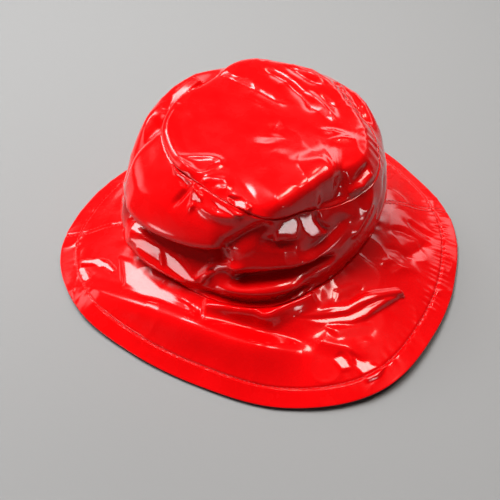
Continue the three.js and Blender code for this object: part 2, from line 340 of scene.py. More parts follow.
BRIM_FOLDS = folds(Panel.BRIM, (
    # The long ridge across the front, and the valley behind it
    (((-138, -29), (-134, -38), (-121, -50), (-97, -68), (-73, -85), (-50, -100), (-35, -109), (-18, -117),
      (-1, -122), (15, -125)), 7, 9, 34, Crest.ROUND, 40),
    (((-58, -80), (-34, -95), (-11, -107), (12, -115), (34, -120)), -4, 12, 8, Crest.SOFT, 50),
    # The curved folds right of the middle
    (((20, -104), (32, -101), (52, -97), (66, -92), (84, -85)), 2, 8, 8, Crest.SOFT),
    (((16, -103), (30, -106), (50, -107), (63, -103), (76, -95), (90, -87)), -0.9, 8, 16),
    # The peak at the front edge
    (((13, -112), (25, -118), (39, -122), (48, -125), (51, -133), (52, -141)), 2, 16, 9, Crest.SHARP, 26),
    (((34, -111), (47, -112), (59, -116), (64, -121), (66, -124)), 0.7, 8, 8, Crest.SHARP),
    # The keen fold under the crown
    (((-49, -85), (-37, -89), (-23, -94), (-14, -96), (-6, -100), (6, -96), (20, -91), (30, -86)),
     5.4, 4, 8, Crest.SOFT, 6),
    # Creases on the right
    (((104, -52), (122, -40), (135, -28)), -2, 9, 9, Crest.SHARP),
    (((92, -66), (104, -60), (116, -62)), 1.6, 7, 7, Crest.SHARP),
    (((99, -27), (112, -24), (128, -31)), -1.4, 5, 7, Crest.SHARP),
    (((92, -45), (104, -44), (118, -52)), -1.3, 5, 6, Crest.SHARP),
    (((84, -60), (94, -55), (101, -57)), 1.2, 5, 5, Crest.SHARP, 8),
    (((118, -8), (126, -16), (140, -25)), -1.6, 6, 6, Crest.SHARP),
))

FOLDS = TIP_FOLDS + WALL_FOLDS + BRIM_FOLDS

TIP_FACETS = facets(Panel.TIP, (
    (((-25, -54), (-17, -57), (-12, -64), (-15, -68), (-22, -62)), Lamp.WINDOW),
    (((58, -47), (64, -40), (73, -31), (76, -35), (68, -43)), Lamp.OVERHEAD),
))

WALL_FACETS = facets(Panel.WALL, (
    # Small places under the tip seam
    (((194, 0), (203, 3), (214, 5), (214, 2), (204, 0)), Lamp.LOW_SIDE, 1, 0, 2),
    (((218, 1), (222, 10), (231, 8), (228, 4)), Lamp.LOW_SIDE, 1, 0, 2),
    (((232, 3), (240, 7), (251, 6), (255, 3), (244, 2)), Lamp.LOW_SIDE, 1, 0, 2),
    # The band low on the left, and the curved fold at its end
    (((192, 54), (200, 51), (213, 51), (216, 66), (204, 64), (196, 62)), Lamp.LOW_SIDE, 0.95, 0, 4),
    (((214, 51), (224, 53), (231, 59), (237, 68), (233, 72), (224, 69), (217, 66)),
     Lamp.LOW_SIDE, 0.95, 0, 4),
    (((235, 69), (236, 62), (238, 56), (241, 57), (239, 62), (237, 69)), Lamp.LOW_SIDE, 1, 0, 2),
    (((239, 55), (242, 50), (248, 46), (250, 49), (245, 53), (242, 56)), Lamp.LOW_SIDE, 1, 0, 2),
    # The two wings under the tip seam
    (((272, 23), (273, 11), (277, 3), (285, 1), (287, 9), (284, 19)), Lamp.LOW_RIGHT, 1, 0, 2),
    (((287, 1), (297, 1), (297, 9), (302, 23), (292, 22), (288, 11)), Lamp.LOW_RIGHT, 1, 0, 2),
    # The back of the left shoulder
    (((116, 1), (130, 1), (144, 2), (144, 7), (130, 10), (117, 9)), Lamp.WINDOW, 0.8),
))

BRIM_FACETS = facets(Panel.BRIM, (
    # The patches on the left
    (((-142, -19), (-137, -18), (-133, -25), (-130, -33), (-134, -35), (-139, -29)), Lamp.WINDOW, 1, 0, 2),
    (((-139, -12), (-126, -15), (-117, -22), (-111, -32), (-114, -34), (-120, -27), (-128, -21), (-138, -18)),
     Lamp.WINDOW, 1, 0, 2),
    (((-106, -24), (-98, -30), (-90, -46), (-76, -62), (-60, -79), (-57, -84), (-72, -76), (-90, -65),
      (-104, -50)), Lamp.WINDOW, 1, 0, 5),
    # The two sides of the curved fold, and the dark places round it
    (((12, -102), (32, -99), (52, -94), (65, -86), (77, -83), (94, -79), (97, -84), (84, -87), (68, -92),
      (50, -98), (32, -102)), Lamp.OVERHEAD, 0.9, 1),
    (((14, -102), (24, -105), (40, -107), (54, -107), (65, -103), (77, -95), (92, -86), (80, -88), (66, -95),
      (52, -100), (30, -102)), Lamp.OVERHEAD, 0.9, -1),
    (((44, -91), (46, -84), (56, -79), (68, -76), (67, -83), (57, -89)), Lamp.SHADE, 1, 0, 5),
    (((36, -110), (48, -109), (60, -107), (70, -110), (66, -117), (54, -119), (42, -117)),
     Lamp.SHADE, 0.5, 0, 6),
    # The two sides of the peak at the front edge
    (((48, -127), (57, -133), (70, -138), (65, -144), (56, -147), (51, -139)), Lamp.OVERHEAD, 1, 0.5, 2),
    (((35, -131), (42, -127), (46, -131), (47, -138), (40, -139)), Lamp.OVERHEAD, 1, 0, 2),
))

FACETS = TIP_FACETS + WALL_FACETS + BRIM_FACETS

SMOOTH_PLACES = (
    SmoothPlace(Panel.TIP, (-15, 5), 60, 0.15),
    SmoothPlace(Panel.WALL, (230, 30), 90, 0.25),
    SmoothPlace(Panel.BRIM, (-40, -125), 75, 0.1),
    SmoothPlace(Panel.BRIM, (-120, -70), 45, 0.1),
    SmoothPlace(Panel.BRIM, (70, -110), 50, 0.3),
)

GATHERS = (
    Gathers(SewnLine.TIP, 0, 360, 0.06, 11, 4, 1),
    Gathers(SewnLine.TIP, -20, 70, 0.25, 9, 8, 2),
    Gathers(SewnLine.BASE, 0, 360, 0.12, 13, 5, 3),
    Gathers(SewnLine.HEM, 0, 360, 0.06, 8, 5, 4),
    Gathers(SewnLine.HEM, -50, 15, 0.22, 7, 6, 5),
)


@dataclass(frozen=True)
class HatShape:
    """The hat's surface, from its sections, before it is made into cloth.

    The tip runs over a ring part of the way to its rim, with part of the rim's drop. Reach
    is about how far it is across a panel. Wall radius and wall cut, the angle at which it
    starts, lay the wall out flat. Hem is how far the stitched line lies from the edge.
    """

    tip_middle: tuple = (8, 4, 107)
    tip_half_way: float = 0.55
    tip_half_rise: float = 0.35
    wall_radius: float = 90
    wall_cut: float = 90
    tip_reach: float = 75
    wall_reach: float = 85
    brim_reach: float = 68
    section_step: int = 4
    hem: float = 12
    nudge: float = 0.01
    find_steps: int = 201
    find_halvings: int = 30

    def reach(self, panel: Panel) -> float:
        """About how far it is across a panel, in its flat layout."""
        return {Panel.TIP: self.tip_reach, Panel.WALL: self.wall_reach, Panel.BRIM: self.brim_reach}[panel]

    def stations(self, panel: Panel, angles: np.ndarray) -> np.ndarray:
        """The points that a panel's profile runs through.

        Args:
            panel: The panel.
            angles: Angles in degrees, of any shape.

        Returns:
            The points, in order across the panel, at each angle.
        """
        if panel is Panel.TIP:
            middle = np.broadcast_to(np.array(self.tip_middle, float), angles.shape + (3,))
            rim = CROWN_SECTIONS.point("rim", angles)
            half = middle + self.tip_half_way * (rim - middle)
            half[..., 2] = middle[..., 2] + self.tip_half_rise * (rim[..., 2] - middle[..., 2])
            return np.stack([middle, half, rim, CROWN_SECTIONS.point("seam", angles)])
        if panel is Panel.WALL:
            names = ("seam", "upper", "lower", "base")
            return np.stack([CROWN_SECTIONS.point(name, angles) for name in names])
        rings = [BRIM_SECTIONS.point(name, angles) for name in ("bend", "middle", "edge")]
        return np.stack([CROWN_SECTIONS.point("base", angles), *rings])

    def marks(self, panel: Panel) -> np.ndarray:
        """How far across a panel its stations lie, which is the same at every angle.

        Args:
            panel: The panel.

        Returns:
            The share of the way, from 0 to 1, at each station.
        """
        points = self.stations(panel, np.arange(0, 360, self.section_step))
        lengths = np.linalg.norm(np.diff(points, axis=0), axis=-1).mean(1)
        return np.concatenate([[0], np.cumsum(lengths)]) / lengths.sum()

    def point(self, panel: Panel, shares: np.ndarray, angles: np.ndarray) -> np.ndarray:
        """Points of a panel, on a smooth curve through its stations.

        Args:
            panel: The panel.
            shares: How far across the panel each point lies, from 0 to 1.
            angles: The angle of each point, in the same shape.

        Returns:
            The points, with their coordinates along a last axis.
        """
        marks = self.marks(panel)
        points = self.stations(panel, angles)
        last = len(marks) - 1
        slopes = []
        for station in range(last + 1):
            low, high = max(station - 1, 0), min(station + 1, last)
            slopes.append((points[high] - points[low]) / (marks[high] - marks[low]))
        result = np.zeros(angles.shape + (3,))
        spans = np.clip(np.searchsorted(marks, shares, side="right") - 1, 0, last - 1)
        for span in range(last):
            width = marks[span + 1] - marks[span]
            part = ((shares - marks[span]) / width)[..., None]
            square, cube = part**2, part**3
            curve = (2 * cube - 3 * square + 1) * points[span]
            curve = curve + (cube - 2 * square + part) * width * slopes[span]
            curve += (3 * square - 2 * cube) * points[span + 1] + (cube - square) * width * slopes[span + 1]
            result = np.where((spans == span)[..., None], curve, result)
        return result

    def outwards(self, panel: Panel, shares: np.ndarray, angles: np.ndarray) -> np.ndarray:
        """The direction out of the cloth at each point of a panel.

        Args:
            panel: The panel.
            shares: How far across the panel each point lies, from 0 to 1.
            angles: The angle of each point, in the same shape.

        Returns:
            The directions, of length one.
        """
        down = self.point(panel, np.minimum(shares + self.nudge, 1), angles)
        down -= self.point(panel, np.maximum(shares - self.nudge, 0), angles)
        around = self.point(panel, np.maximum(shares, self.nudge), angles + 1)
        around -= self.point(panel, np.maximum(shares, self.nudge), angles - 1)
        return unit(np.cross(down, around))

    def layout(self, panel: Panel, shares: np.ndarray, angles: np.ndarray) -> np.ndarray:
        """Lays points of a panel out flat, in the layout that its folds are drawn in.

        Args:
            panel: The panel.
            shares: How far across the panel each point lies, from 0 to 1.
            angles: The angle of each point, in the same shape.

        Returns:
            Their places in the flat layout.
        """
        if panel is Panel.WALL:
            around = np.radians(np.mod(angles - self.wall_cut, 360) + self.wall_cut) * self.wall_radius
            return np.stack([around, -shares * self.wall_reach], -1)
        return self.point(panel, shares, angles)[..., :2]

    def flat(self, panel: Panel, place: tuple) -> np.ndarray:
        """Turns a place from the folds' or facets' tables into millimetres.

        Args:
            panel: The panel.
            place: The place, as the table gives it.

        Returns:
            The place in the flat layout.
        """
        if panel is Panel.WALL:
            return np.array([math.radians(place[0]) * self.wall_radius, -place[1]])
        return np.array(place, float)

    def find(self, panel: Panel, place: np.ndarray) -> tuple:
        """Finds a place of the flat layout on its panel.

        Args:
            panel: The panel.
            place: The place, in the flat layout.

        Returns:
            How far across the panel it lies, from 0 to 1, and its angle.
        """
        if panel is Panel.WALL:
            return -place[1] / self.wall_reach, math.degrees(place[0] / self.wall_radius)
        if panel is Panel.TIP:
            steps = np.linspace(0, 1, self.find_steps)
            shares, angles = np.meshgrid(steps, np.arange(0, 360, 1.0), indexing="ij")
            gaps = np.linalg.norm(self.point(panel, shares, angles)[..., :2] - place, axis=-1)
            spot = np.unravel_index(gaps.argmin(), gaps.shape)
            return float(shares[spot]), float(angles[spot])
        angle = math.degrees(math.atan2(place[1], place[0]))
        low, high = 0.0, 1.0
        for _ in range(self.find_halvings):
            share = (low + high) / 2
            radius = np.linalg.norm(self.point(panel, np.array(share), np.array(angle))[:2])
            low, high = (share, high) if radius < np.linalg.norm(place) else (low, share)
        return share, angle

    def seam_way(self, line: SewnLine, angles: np.ndarray) -> np.ndarray:
        """The direction that halves the corner at a seam.

        Args:
            line: The seam.
            angles: Angles in degrees, of any shape.

        Returns:
            The direction out of the cloth, at each angle.
        """
        upper, lower = (Panel.TIP, Panel.WALL) if line is SewnLine.TIP else (Panel.WALL, Panel.BRIM)
        above = self.outwards(upper, np.ones(angles.shape), angles)
        return unit(above + self.outwards(lower, np.zeros(angles.shape), angles))

    def hem_share(self, angles: np.ndarray) -> np.ndarray:
        """Where the hem is stitched.

        Args:
            angles: Angles in degrees, of any shape.

        Returns:
            The share of the way across the brim, at each angle.
        """
        middle = BRIM_SECTIONS.point("middle", angles)
        edge = BRIM_SECTIONS.point("edge", angles)
        last = 1 - self.marks(Panel.BRIM)[2]
        return 1 - self.hem * last / np.linalg.norm(edge - middle, axis=-1)

    def footprint_middle(self) -> np.ndarray:
        """The middle of the brim's edge, which lies on the frame's origin.

        Returns:
            The point, on the floor.
        """
        edge = BRIM_SECTIONS.point("edge", np.arange(0, 360, self.section_step))
        middle = (edge.min(0) + edge.max(0)) / 2
        return np.array([middle[0], middle[1], 0])


SHAPE = HatShape()


def spline_steps(points: np.ndarray, count: int) -> np.ndarray:
    """Evenly spaced points on a smooth curve through a few, which it starts and ends on.

    Args:
        points: The few points.
        count: How many steps there are, one fewer than the points of the result.

    Returns:
        The points of the curve.
    """
    ends = np.vstack([points[0], points, points[-1]])
    part = np.linspace(0, 1, count)[:, None]
    curve = np.vstack([curve_part(four, part) for four in zip(ends, ends[1:], ends[2:], ends[3:])])
    run = np.concatenate([[0], np.cumsum(np.linalg.norm(np.diff(curve, axis=0), axis=1))])
    even = np.linspace(0, run[-1], count + 1)
    return np.stack([np.interp(even, run, column) for column in curve.T], -1)


def graded(count: int, fine: tuple) -> np.ndarray:
    """Steps from 0 to 1 that are closer together at some places.

    Args:
        count: How many steps there are.
        fine: Places, each with the width round it and how much closer the steps lie.

    Returns:
        The places of the steps, with 0 and 1.
    """
    samples = np.linspace(0, 1, GRADING_SAMPLES)
    density = np.ones(samples.shape)
    for place, width, closer in fine:
        density += closer * np.exp(-(((samples - place) / width) ** 2))
    run = np.concatenate([[0], np.cumsum((density[1:] + density[:-1]) / 2)])
    return np.interp(np.linspace(0, run[-1], count + 1), run, samples)


class Clouds:
    """Smooth random heights over a space, the same for the same seed."""

    size = 64
    stretch = 1.7

    def __init__(self, seed: int) -> None:
        """Draws the slopes that the heights are worked out from."""
        ways = np.random.default_rng(seed).normal(size=(self.size, self.size, self.size, 3))
        self.slopes = unit(ways)

    def height(self, points: np.ndarray, wave: float) -> np.ndarray:
        """The height at each point, from about -1 to 1.

        Args:
            points: The points, in three coordinates.
            wave: The length of the waves, in the points' own unit.

        Returns:
            One height for each point.
        """
        place = points / wave
        low = np.floor(place).astype(int)
        part = place - low
        ease = part**3 * (part * (6 * part - 15) + 10)
        total = np.zeros(points.shape[:-1])
        for corner in np.ndindex(2, 2, 2):
            spot = np.mod(low + corner, self.size)
            slope = self.slopes[spot[..., 0], spot[..., 1], spot[..., 2]]
            weight = np.prod(np.where(np.array(corner) == 1, ease, 1 - ease), axis=-1)
            total += weight * np.sum(slope * (part - corner), axis=-1)
        return total * self.stretch


@dataclass
class Relief:
    """How far the cloth stands off its plain shape: folds, facets, seams and small waves.

    Lamps holds where each lamp stands, by name, and eye is where the camera stands. Swirl
    bends the small waves, which are broad swells and keen creases, and pucker is for gathers.
    """

    shape: HatShape
    lamps: dict
    eye: np.ndarray
    path_steps: int = 24
    fold_end: float = 0.2
    most_lift: float = 5.0
    least_facing: float = 0.3
    calm: float = 1.8
    groove_depth: float = 0.8
    groove_width: float = 1.4
    hem_rise: float = 0.5
    hem_bend: float = 1.5
    stitch_depth: float = 0.55
    stitch_width: float = 0.9
    cloud_seed: int = 7
    swirl: float = 6
    swirl_wave: float = 45
    swirl_shifts: tuple = (0, 300, 600)
    broad_height: float = 0.35
    broad_wave: float = 38
    crease_height: float = 0.5
    crease_wave: float = 30
    crease_shift: float = 100
    crease_power: int = 6
    smooth_edge: float = 1.6
    pucker_stretches: tuple = (0.7, 0.87, 1.0, 1.3, 1.7)
    least_pucker: float = 0.4
    pucker_fade: float = 10

    def __post_init__(self) -> None:
        """Makes the clouds, and starts with no facet's plane worked out."""
        self.clouds = Clouds(self.cloud_seed)
        self.planes = {}

    def beside(self, path: np.ndarray, spots: np.ndarray) -> tuple:
        """Where each spot lies beside a path.

        Args:
            path: Evenly spaced points of the path.
            spots: The spots, in the flat layout.

        Returns:
            For each spot its gap from the path, how far it is to the left of the path's
            nearest step, and its share of the way along.
        """
        best = np.full(len(spots), np.inf)
        side = np.zeros(len(spots))
        along = np.zeros(len(spots))
        for number, (start, end) in enumerate(zip(path, path[1:])):
            step, offset = end - start, spots - start
            part = np.clip(offset @ step / (step @ step), 0, 1)
            gap = np.linalg.norm(offset - part[:, None] * step, axis=1)
            left = (step[0] * offset[:, 1] - step[1] * offset[:, 0]) / np.linalg.norm(step)
            closer = gap < best
            best = np.where(closer, gap, best)
            side = np.where(closer, left, side)
            along = np.where(closer, (number + part) / self.path_steps, along)
        return best, side, along

    def fold(self, fold: Fold, places: np.ndarray) -> np.ndarray:
        """How far one fold lifts each place.

        Args:
            fold: The fold.
            places: Places in the flat layout.

        Returns:
            The lift at each place.
        """
        corners = np.array([self.shape.flat(fold.panel, place) for place in fold.path])
        path = spline_steps(corners, self.path_steps)
        soft = fold.crest.value
        reach = max(fold.left, fold.right) + soft
        near = np.all((places > path.min(0) - reach) & (places < path.max(0) + reach), axis=-1)
        gap, side, along = self.beside(path, places[near])
        lean = 0.5 + 0.5 * np.clip(side / np.maximum(gap, TINY), -1, 1)
        width = fold.right + (fold.left - fold.right) * smooth_step(lean)
        out = np.clip((np.sqrt(gap**2 + soft**2) - soft) / width, 0, 1)
        length = np.linalg.norm(np.diff(path, axis=0), axis=1).sum()
        fade = smooth_step(np.minimum(along, 1 - along) * length / fold.end + self.fold_end)
        lift = np.zeros(places.shape[:-1])
        lift[near] = fold.height * (1 - out) ** 2 * fade
        return lift

    def folded(self, panel: Panel, plain: np.ndarray, places: np.ndarray) -> np.ndarray:
        """How far the folds and small waves lift a panel, before its facets.

        Args:
            panel: The panel.
            plain: Points of its plain shape.
            places: Their places in the flat layout.

        Returns:
            The lift at each point.
        """
        lift = self.waves(panel, plain, places)
        for fold in FOLDS:
            if fold.panel is panel:
                lift += self.fold(fold, places)
        return lift

    def plane(self, facet: Facet) -> tuple:
        """Works out the plane of a facet, once for each.

        Args:
            facet: The facet.

        Returns:
            A point of its plane, and the direction that it faces.
        """
        if facet not in self.planes:
            panel = facet.panel
            middle = np.mean([self.shape.flat(panel, corner) for corner in facet.corners], axis=0)
            share, angle = (np.array([value]) for value in self.shape.find(panel, middle))
            plain = self.shape.point(panel, share, angle)
            normal = self.shape.outwards(panel, share, angle)[0]
            lift = self.folded(panel, plain, self.shape.layout(panel, share, angle))[0]
            here = plain[0] + normal * (lift + facet.rise)
            half_way = unit(unit(self.lamps[facet.faces.value] - here) + unit(self.eye - here))
            self.planes[facet] = here, unit(normal + facet.turned * (half_way - normal))
        return self.planes[facet]

    def weight(self, facet: Facet, places: np.ndarray) -> np.ndarray:
        """How much of a facet shows at each place.

        Args:
            facet: The facet.
            places: Places in the flat layout.

        Returns:
            One inside the facet, none outside it, and a bend from one to the other.
        """
        corners = np.array([self.shape.flat(facet.panel, corner) for corner in facet.corners])
        inside = np.zeros(places.shape[:-1], bool)
        gap = np.full(places.shape[:-1], np.inf)
        for one, two in zip(corners, np.roll(corners, -1, axis=0)):
            step, offset = two - one, places - one
            part = np.clip(offset @ step / (step @ step), 0, 1)
            gap = np.minimum(gap, np.linalg.norm(offset - part[..., None] * step, axis=-1))
            straddles = (one[1] > places[..., 1]) != (two[1] > places[..., 1])
            crossing = one[0] + (places[..., 1] - one[1]) * step[0] / (step[1] or TINY)
            inside ^= straddles & (places[..., 0] < crossing)
        return smooth_step(0.5 + np.where(inside, gap, -gap) / facet.blend)

    def facet(self, facet: Facet, points: tuple, places: np.ndarray, lift: np.ndarray) -> np.ndarray:
        """The lift with one facet laid over it.

        Args:
            facet: The facet.
            points: The plain points of the panel, and the directions out of the cloth there.
            places: Their places in the flat layout.
            lift: The lift so far.

        Returns:
            The new lift.
        """
        plain, normals = points
        here, facing = self.plane(facet)
        plane = np.sum((here - plain) * facing, axis=-1) / np.maximum(normals @ facing, self.least_facing)
        plane = lift + self.most_lift * np.tanh((plane - lift) / self.most_lift)
        return lift + self.weight(facet, places) * (plane - lift)

    def waves(self, panel: Panel, points: np.ndarray, places: np.ndarray) -> np.ndarray:
        """Small waves and creases that run all over the cloth.

        Args:
            panel: The panel.
            points: Points of its plain shape.
            places: Their places in the flat layout.

        Returns:
            The height of the waves at each point.
        """
        swirls = [self.clouds.height(points + shift, self.swirl_wave) for shift in self.swirl_shifts]
        bent = points + self.swirl * np.stack(swirls, -1)
        broad = self.broad_height * self.clouds.height(bent, self.broad_wave)
        ridges = 1 - np.abs(self.clouds.height(bent + self.crease_shift, self.crease_wave))
        keep = np.ones(points.shape[:-1])
        for spot in SMOOTH_PLACES:
            if spot.panel is panel:
                gap = np.linalg.norm(places - self.shape.flat(panel, spot.middle), axis=-1) / spot.reach
                keep *= 1 - (1 - spot.keep) * smooth_step(self.smooth_edge - self.smooth_edge * gap)
        return keep * (broad + self.crease_height * ridges**self.crease_power)

    def seam_shift(self, panel: Panel, shares: np.ndarray, angles: np.ndarray) -> np.ndarray:
        """How far each point moves as its panel's seams are sunk and gathered.

        Args:
            panel: The panel.
            shares: How far across the panel each point lies, from 0 to 1.
            angles: The angle of each point, in the same shape.

        Returns:
            The shift of each point.
        """
        total = np.zeros(angles.shape + (3,))
        seams = {
            Panel.TIP: ((SewnLine.TIP, 1 - shares),),
            Panel.WALL: ((SewnLine.TIP, shares), (SewnLine.BASE, 1 - shares)),
            Panel.BRIM: ((SewnLine.BASE, shares),),
        }
        for line, way in seams[panel]:
            gap = way * self.shape.reach(panel)
            sink = self.groove_depth * np.clip(1 - gap / self.groove_width, 0, 1) ** 2
            total += (self.gathers(line, angles, gap) - sink)[..., None] * self.shape.seam_way(line, angles)
        return total

    def puckers(self, row: Gathers, angles: np.ndarray) -> np.ndarray:
        """The height of one row of gathers on its line of sewing.

        Args:
            row: The row of gathers.
            angles: Angles in degrees, of any shape.

        Returns:
            The height at each angle.
        """
        draw = np.random.default_rng(row.seed)
        arc = np.radians(angles)
        wave = np.zeros(angles.shape)
        for stretch in self.pucker_stretches:
            turns = max(round(2 * math.pi * row.line.value / (row.wave * stretch)), 1)
            wave += draw.uniform(self.least_pucker, 1) * np.sin(turns * arc + draw.uniform(0, 2 * math.pi))
        inside = np.ones(angles.shape)
        if row.end - row.start < 360:
            off = np.abs(np.mod(angles - (row.start + row.end) / 2 + 180, 360) - 180)
            inside = smooth_step(((row.end - row.start) / 2 - off) / self.pucker_fade)
        return row.height * wave * inside

    def gathers(self, line: SewnLine, angles: np.ndarray, gap: np.ndarray) -> np.ndarray:
        """How far the gathers along a line of sewing lift the cloth.

        Args:
            line: The line of sewing.
            angles: The angle of each point, in degrees.
            gap: Each point's gap from the line.

        Returns:
            The lift at each point.
        """
        total = np.zeros(angles.shape)
        for row in GATHERS:
            if row.line is line:
                total += self.puckers(row, angles) * np.exp(-((gap / row.reach) ** 2))
        return total

    def hem_lift(self, shares: np.ndarray, angles: np.ndarray) -> np.ndarray:
        """How far the doubled hem and its stitched line lift the brim.

        Args:
            shares: How far across the panel each point lies, from 0 to 1.
            angles: The angle of each point, in the same shape.

        Returns:
            The lift at each point.
        """
        gap = (shares - self.shape.hem_share(angles)) * self.shape.brim_reach
        groove = self.stitch_depth * np.exp(-((gap / self.stitch_width) ** 2))
        rise = self.hem_rise * smooth_step(gap / self.hem_bend)
        return rise - groove + self.gathers(SewnLine.HEM, angles, gap)

    def surface(self, panel: Panel, shares: np.ndarray, angles: np.ndarray) -> np.ndarray:
        """Points of a panel's outer face, folds and all.

        Args:
            panel: The panel.
            shares: How far across the panel each point lies, from 0 to 1.
            angles: The angle of each point, in the same shape.

        Returns:
            The points, with their coordinates along a last axis.
        """
        plain = self.shape.point(panel, shares, angles)
        normals = self.shape.outwards(panel, shares, angles)
        places = self.shape.layout(panel, shares, angles)
        lift = self.folded(panel, plain, places)
        for facet in FACETS:
            if facet.panel is panel:
                lift = self.facet(facet, (plain, normals), places, lift)
        either = np.minimum(shares, 1 - shares)
        to_seam = {Panel.TIP: 1 - shares, Panel.WALL: either, Panel.BRIM: shares}[panel]
        lift *= smooth_step(to_seam * self.shape.reach(panel) / self.calm)
        if panel is Panel.BRIM:
            lift += self.hem_lift(shares, angles)
        return plain + normals * lift[..., None] + self.seam_shift(panel, shares, angles)


def new_object(name: str, data: bpy.types.ID) -> bpy.types.Object:
    """Adds an object to the scene.

    Args:
        name: The object's name.
        data: Its mesh, camera or lamp.

    Returns:
        The object.
    """
    made = bpy.data.objects.new(name, data)
    bpy.context.scene.collection.objects.link(made)
    return made


def new_node(tree: bpy.types.NodeTree, kind: str, inputs: dict, **choices: str) -> bpy.types.Node:
    """Adds a node to a tree.

    Args:
        tree: The tree.
        kind: The node's type.
        inputs: What goes into its sockets, by name or number: another socket, or a value.
        choices: The node's own settings, such as its mode.

    Returns:
        The node.
    """
    node = tree.nodes.new(kind)
    for name, choice in choices.items():
        setattr(node, name, choice)
    for name, value in inputs.items():
        if isinstance(value, bpy.types.NodeSocket):
            tree.links.new(value, node.inputs[name])
        else:
            node.inputs[name].default_value = value
    return node


class Skin:
    """Points and faces of a closed skin of cloth."""

    def __init__(self) -> None:
        """Starts with nothing."""
        self.points = []
        self.faces = []
        self.finishes = []
        self.count = 0

    def add_points(self, points: np.ndarray) -> np.ndarray:
        """Adds points.

        Args:
            points: The points, in any shape.

        Returns:
            Their numbers, in the same shape.
        """
        numbers = np.arange(points[..., 0].size).reshape(points.shape[:-1]) + self.count
        self.points.append(points.reshape(-1, 3))
        self.count += numbers.size
        return numbers

    def add_faces(self, faces: list, finish: int) -> None:
        """Adds faces, each a list of point numbers, with one finish."""
        self.faces += faces
        self.finishes += [finish] * len(faces)

    def add_sheet(self, rows: np.ndarray, closed: bool, flip: bool, finish: int) -> None:
        """Adds a face between each four neighbouring numbers of a grid.

        Args:
            rows: The grid of point numbers.
            closed: Whether the last column is joined to the first.
            flip: Whether the faces are turned over.
            finish: The place of their material in the piece's list.
        """
        if closed:
            rows = np.concatenate([rows, rows[:, :1]], axis=1)
        corners = [rows[:-1, :-1], rows[1:, :-1], rows[1:, 1:], rows[:-1, 1:]]
        if flip:
            corners[1:] = corners[:0:-1]
        self.add_faces(np.stack(corners, -1).reshape(-1, 4).tolist(), finish)

    def piece(self, name: str, materials: list, nodes: tuple) -> bpy.types.Object:
        """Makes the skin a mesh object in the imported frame, riding on the hat's body.

        Args:
            name: The piece's name.
            materials: The coated and the backed material.
            nodes: The CAD nodes that the piece stands for.

        Returns:
            The piece.
        """
        placed = (np.concatenate(self.points) - SHAPE.footprint_middle()) * MM
        placed[:, 2] = np.maximum(placed[:, 2], 0)
        mesh = bpy.data.meshes.new(name)
        mesh.from_pydata(placed.tolist(), [], self.faces)
        for material in materials:
            mesh.materials.append(material)
        mesh.polygons.foreach_set("use_smooth", np.ones(len(mesh.polygons), bool))
        mesh.polygons.foreach_set("material_index", np.array(self.finishes, np.int32))
        mesh.validate()
        piece = new_object(name, mesh)
        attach(piece, BODY)
        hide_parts(*nodes)
        return piece


@dataclass
class ClothPanel:
    """One panel of the hat, as a closed skin with a coated and a backed side."""

    relief: Relief
    materials: list
    thickness: float

    def inner(self, panel: Panel, shares: np.ndarray, angles: np.ndarray, outer: np.ndarray) -> np.ndarray:
        """The backed side of the cloth, under each point of the coated side."""
        return outer - SHAPE.outwards(panel, shares, angles) * self.thickness


@dataclass
class CrownTip(ClothPanel):
    """The crown's top panel, on rings that grow by one point for each spoke."""

    rings: int = 92
    spokes: int = 8
    pole_share: float = 1e-4
    fine: tuple = ((1, 0.02, 2.5), (0.86, 0.08, 0.5))

    def grid(self) -> tuple:
        """The places of the panel's points, ring by ring from the middle.

        Returns:
            The share of the way across the panel, and the angle, of each point.
        """
        steps = graded(self.rings, self.fine)
        shares, angles = [[self.pole_share]], [[0]]
        for ring in range(1, self.rings + 1):
            count = self.spokes * ring
            shares.append(np.full(count, steps[ring]))
            angles.append(np.arange(count) * 360 / count)
        return np.concatenate(shares), np.concatenate(angles)

    def first(self, ring: int) -> int:
        """The number of a ring's first point."""
        return 1 + self.spokes * ring * (ring - 1) // 2

    def ring_faces(self, ring: int) -> list:
        """The faces between a ring and the one inside it.

        Args:
            ring: The ring, from 1.

        Returns:
            The faces, each a list of point numbers. The last beside each spoke is a triangle.
        """
        if ring == 1:
            return [[0, 1 + spoke, 1 + (spoke + 1) % self.spokes] for spoke in range(self.spokes)]
        count, count_inside = self.spokes * ring, self.spokes * (ring - 1)
        faces = []
        for spoke in range(self.spokes):
            for place in range(ring):
                ends = (place, place + 1)
                outside = [self.first(ring) + (spoke * ring + end) % count for end in ends]
                inside = [self.first(ring - 1) + (spoke * (ring - 1) + end) % count_inside for end in ends]
                face = [inside[0], *outside, inside[1]]
                faces.append(face if place < ring - 1 else face[:3])
        return faces

    def build(self) -> bpy.types.Object:
        """Builds the top panel.

        Returns:
            The finished piece.
        """
        shares, angles = self.grid()
        outer = self.relief.surface(Panel.TIP, shares, angles)
        skin = Skin()
        top = skin.add_points(outer)
        under = skin.add_points(self.inner(Panel.TIP, shares, angles, outer))
        faces = [face for ring in range(1, self.rings + 1) for face in self.ring_faces(ring)]
        skin.add_faces(faces, COATED)
        skin.add_faces([[len(top) + number for number in reversed(face)] for face in faces], BACKED)
        rim = self.spokes * self.rings
        skin.add_sheet(np.stack([top[-rim:], under[-rim:]]), True, False, COATED)
        return skin.piece("crown_tip_cloth", self.materials, ("crown_tip",))


